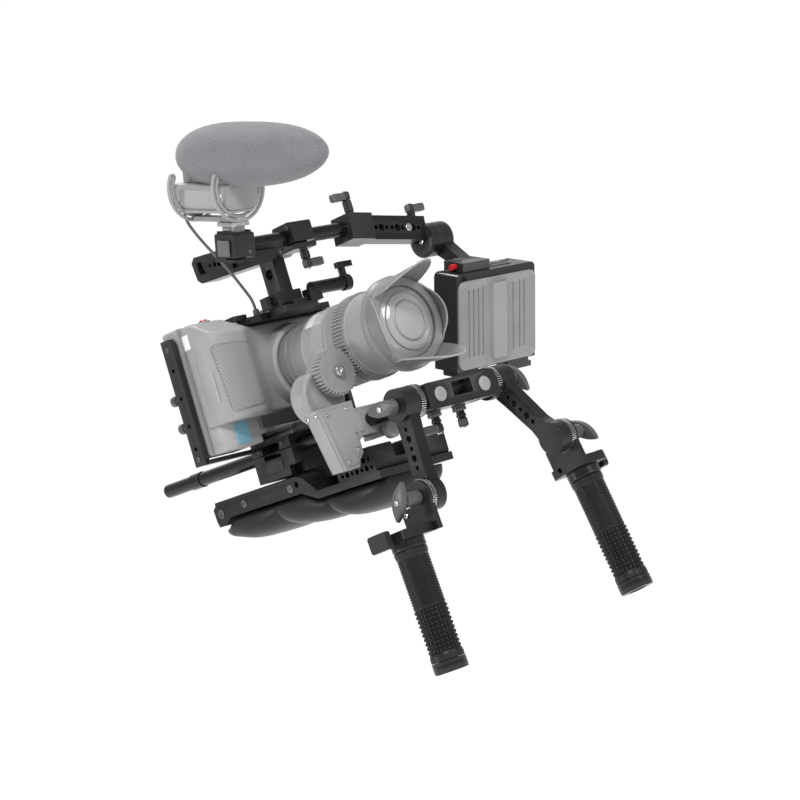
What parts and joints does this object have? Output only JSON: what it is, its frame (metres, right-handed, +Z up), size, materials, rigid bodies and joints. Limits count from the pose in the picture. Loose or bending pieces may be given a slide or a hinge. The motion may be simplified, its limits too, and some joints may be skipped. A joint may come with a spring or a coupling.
{
  "type": "cinema camera rig",
  "caption": "Shoulder-mounted cinema camera rig on parallel rods, with handgrips, lens and focus motor, top handle, microphone and side monitor.",
  "frame": {"origin": "middle of the underside of the shoulder pad, where the rig rests on the operator's shoulder", "axes": "+Z up, -Y the way the lens looks, +X the operator's left; the rods run along Y"},
  "size_m": [0.388, 0.5254, 0.5824],
  "materials": {
    "black_anodised": "fine bead-blasted black anodising",
    "rod_black": "satin black anodised tube",
    "silver": "bright machined screws and rosettes",
    "light_clamp": "clear anodised small parts",
    "grey_shell": "fine textured mid-grey camera shell",
    "lens_grey": "satin dark-grey lens barrel",
    "ring_rubber": "ribbed lens ring",
    "hood_plastic": "matte hood",
    "lens_glass": "coated front element",
    "motor_grey": "textured motor housing",
    "foam": "open-cell foam windshield",
    "mic_plastic": "matte microphone body and lyres",
    "pad_rubber": "moulded shoulder pad",
    "grip_rubber": "moulded grid-pattern grip",
    "cable": "thin flexible lead",
    "red_plastic": "red release button",
    "monitor_grey": "ribbed monitor back",
    "screen": "dark glossy screen",
    "label": "blank pale label"
  },
  "bodies": {
    "root": {"rod_right": "rod_black", "rod_left": "rod_black", "rod_extension": "rod_black", "cross_rod": "rod_black", "base_clamp_block": "black_anodised", "camera_plate": "black_anodised", "dovetail_bar": "black_anodised", "cage_side_plate": "black_anodised", "cage_top_plate": "black_anodised", "cage_left_plate": "black_anodised", "top_handle": "black_anodised", "handle_post": "black_anodised", "side_arm": "black_anodised", "shoe_clamp": "black_anodised", "camera_front_shell": "grey_shell", "camera_rear_shell": "grey_shell", "camera_battery": "grey_shell", "camera_sensor": "screen", "lens_barrel": "lens_grey", "lens_hood": "hood_plastic", "lens_glass": "lens_glass", "motor_body": "motor_grey", "mic_mount": "mic_plastic", "mic_body": "mic_plastic", "mic_windshield": "foam", "mic_cable": "cable", "cable_plug": "cable"},
    "front_clamp": {"front_clamp": "black_anodised"},
    "clamp_lever_right": {"clamp_lever_right": "black_anodised"},
    "clamp_lever_left": {"clamp_lever_left": "black_anodised"},
    "focus_ring": {"focus_ring": "ring_rubber"},
    "zoom_ring": {"zoom_ring": "ring_rubber"},
    "motor_gear": {"motor_gear": "motor_grey"},
    "motor_knob": {"motor_knob": "motor_grey"},
    "monitor_arm": {"arm_bar": "black_anodised"},
    "arm_bar_lever": {"arm_bar_lever": "black_anodised"},
    "hub_lever": {"hub_lever": "black_anodised"},
    "monitor": {"monitor_mount": "black_anodised", "monitor_cage": "black_anodised", "monitor_body": "monitor_grey"},
    "red_lock_button": {"red_lock_button": "red_plastic"},
    "handle_lever": {"handle_lever": "black_anodised"},
    "quick_lever": {"quick_lever": "black_anodised"},
    "shoulder": {"shoulder_plate": "black_anodised", "shoulder_pad": "pad_rubber"},
    "record_button": {"record_button": "grey_shell"},
    "arm_right": {"arm_right": "black_anodised"},
    "wing_upper_right": {"wing_upper_right": "black_anodised"},
    "grip_right": {"grip_bracket_right": "black_anodised", "grip_core_right": "black_anodised", "grip_sleeve_right": "grip_rubber"},
    "wing_lower_right": {"wing_lower_right": "black_anodised"},
    "grip_lever_right": {"grip_lever_right": "black_anodised"},
    "arm_left": {"arm_left": "black_anodised"},
    "wing_upper_left": {"wing_upper_left": "black_anodised"},
    "grip_left": {"grip_bracket_left": "black_anodised", "grip_core_left": "black_anodised", "grip_sleeve_left": "grip_rubber"},
    "wing_lower_left": {"wing_lower_left": "black_anodised"},
    "grip_lever_left": {"grip_lever_left": "black_anodised"}
  },
  "joints": [
    {"name": "focus_turn", "type": "hinge", "parent": "root", "child": "focus_ring", "pos_m": [0, -0.16, 0.158], "axis": [0, 1, 0], "range_deg": [-150, 150]},
    {"name": "zoom_turn", "type": "hinge", "parent": "root", "child": "zoom_ring", "pos_m": [0, -0.106, 0.158], "axis": [0, 1, 0], "range_deg": [-60, 60]},
    {"name": "motor_gear_turn", "type": "hinge", "parent": "root", "child": "motor_gear", "pos_m": [-0.05982, -0.147, 0.13011], "axis": [0, 1, 0], "range_deg": [-285, 285]},
    {"name": "motor_knob_turn", "type": "hinge", "parent": "root", "child": "motor_knob", "pos_m": [-0.016, -0.152, 0.063], "axis": [0, 1, 0], "continuous": true},
    {"name": "front_clamp_slide", "type": "slide", "parent": "root", "child": "front_clamp", "axis": [0, 1, 0], "range_m": [0, 0.025]},
    {"name": "clamp_lever_right_turn", "type": "hinge", "parent": "front_clamp", "child": "clamp_lever_right", "pos_m": [-0.017, -0.22, 0.052], "axis": [0, 0, 1], "range_deg": [-90, 90]},
    {"name": "clamp_lever_left_turn", "type": "hinge", "parent": "front_clamp", "child": "clamp_lever_left", "pos_m": [0.017, -0.22, 0.052], "axis": [0, 0, 1], "range_deg": [-90, 90]},
    {"name": "arm_right_swing", "type": "hinge", "parent": "front_clamp", "child": "arm_right", "pos_m": [-0.064, -0.233, 0.078], "axis": [1, 0, 0], "range_deg": [-90, 20]},
    {"name": "wing_upper_right_turn", "type": "hinge", "parent": "arm_right", "child": "wing_upper_right", "pos_m": [-0.08, -0.233, 0.078], "axis": [1, 0, 0], "range_deg": [-90, 90]},
    {"name": "grip_right_tilt", "type": "hinge", "parent": "arm_right", "child": "grip_right", "pos_m": [-0.076, -0.233, -0.01], "axis": [1, 0, 0], "range_deg": [-60, 40]},
    {"name": "wing_lower_right_turn", "type": "hinge", "parent": "grip_right", "child": "wing_lower_right", "pos_m": [-0.09, -0.233, -0.01], "axis": [1, 0, 0], "range_deg": [-90, 90]},
    {"name": "grip_lever_right_turn", "type": "hinge", "parent": "grip_right", "child": "grip_lever_right", "pos_m": [-0.1175, -0.21926, -0.04062], "axis": [1, 0, 0], "range_deg": [-90, 90]},
    {"name": "arm_left_swing", "type": "hinge", "parent": "front_clamp", "child": "arm_left", "pos_m": [0.064, -0.233, 0.078], "axis": [1, 0, 0], "range_deg": [-50, 70]},
    {"name": "wing_upper_left_turn", "type": "hinge", "parent": "arm_left", "child": "wing_upper_left", "pos_m": [0.08, -0.233, 0.078], "axis": [1, 0, 0], "range_deg": [-90, 90]},
    {"name": "grip_left_tilt", "type": "hinge", "parent": "arm_left", "child": "grip_left", "pos_m": [0.076, -0.28718, 0.00865], "axis": [1, 0, 0], "range_deg": [-60, 60]},
    {"name": "wing_lower_left_turn", "type": "hinge", "parent": "grip_left", "child": "wing_lower_left", "pos_m": [0.09, -0.28718, 0.00865], "axis": [1, 0, 0], "range_deg": [-90, 90]},
    {"name": "grip_lever_left_turn", "type": "hinge", "parent": "grip_left", "child": "grip_lever_left", "pos_m": [0.1175, -0.27727, -0.02341], "axis": [1, 0, 0], "range_deg": [-90, 90]},
    {"name": "monitor_arm_slide", "type": "slide", "parent": "root", "child": "monitor_arm", "axis": [1, 0, 0], "range_m": [-0.01, 0.006]},
    {"name": "arm_bar_lever_turn", "type": "hinge", "parent": "monitor_arm", "child": "arm_bar_lever", "pos_m": [0.07, -0.092, 0.304], "axis": [0, 0, 1], "range_deg": [-90, 90]},
    {"name": "hub_lever_turn", "type": "hinge", "parent": "monitor_arm", "child": "hub_lever", "pos_m": [0.154, -0.092, 0.286], "axis": [0, 0, 1], "range_deg": [-90, 90]},
    {"name": "monitor_tilt", "type": "hinge", "parent": "monitor_arm", "child": "monitor", "pos_m": [0.175, -0.092, 0.252], "axis": [1, 0, 0], "range_deg": [-45, 45]},
    {"name": "red_button_press", "type": "slide", "parent": "monitor", "child": "red_lock_button", "axis": [1, 0, 0], "range_m": [0, 0.0025], "stiffness_N_per_m": 300, "springref_m": -0.001},
    {"name": "handle_lever_turn", "type": "hinge", "parent": "root", "child": "handle_lever", "pos_m": [-0.012, -0.1, 0.254], "axis": [0, 0, 1], "range_deg": [-90, 90]},
    {"name": "quick_lever_turn", "type": "hinge", "parent": "root", "child": "quick_lever", "pos_m": [-0.02, -0.053, 0.106], "axis": [0, 0, 1], "range_deg": [0, 30]},
    {"name": "shoulder_slide", "type": "slide", "parent": "root", "child": "shoulder", "axis": [0, 1, 0], "range_m": [-0.01, 0.03]},
    {"name": "record_press", "type": "slide", "parent": "root", "child": "record_button", "axis": [0, 0, -1], "range_m": [0, 0.002], "stiffness_N_per_m": 300, "springref_m": -0.001}
  ],
  "couplings": [
    {"joint": "motor_gear_turn", "follows": "focus_turn", "ratio": -1.8947}
  ]
}
